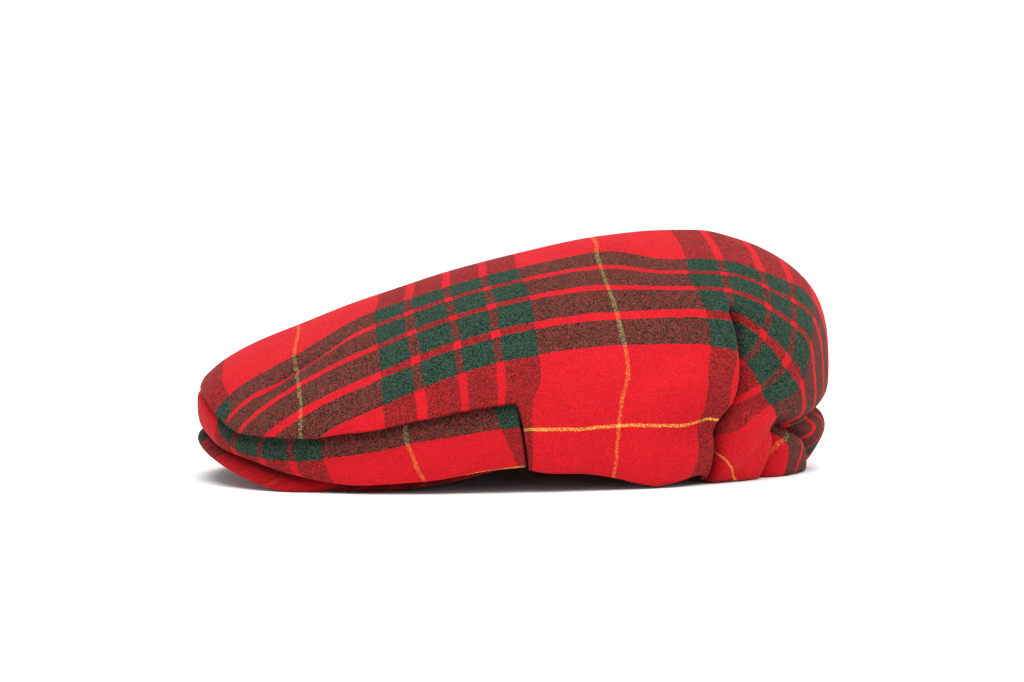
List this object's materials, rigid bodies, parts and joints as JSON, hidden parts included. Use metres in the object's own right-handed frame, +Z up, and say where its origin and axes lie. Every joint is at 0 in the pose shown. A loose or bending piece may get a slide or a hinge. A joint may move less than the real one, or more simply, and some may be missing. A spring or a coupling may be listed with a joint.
{
  "type": "flat cap",
  "caption": "Flat cap of tartan wool: low one-piece crown with rear darts and a gathered back hem, a front strip, and a short stiff peak under it.",
  "frame": {"origin": "middle of the cap's box, on the surface that it lies on", "axes": "+X towards the back of the head, with the peak at -X; +Y towards the wearer's right; +Z up"},
  "size_m": [0.275, 0.206, 0.1038],
  "materials": {
    "crown_wool": "brushed twill wool in a red, green and yellow tartan",
    "strip_wool": "the same brushed twill wool, cut across the front",
    "peak_wool": "the same brushed twill wool over a stiff board"
  },
  "bodies": {
    "root": {"crown": "crown_wool", "front_strip": "strip_wool", "peak": "peak_wool"}
  },
  "joints": []
}
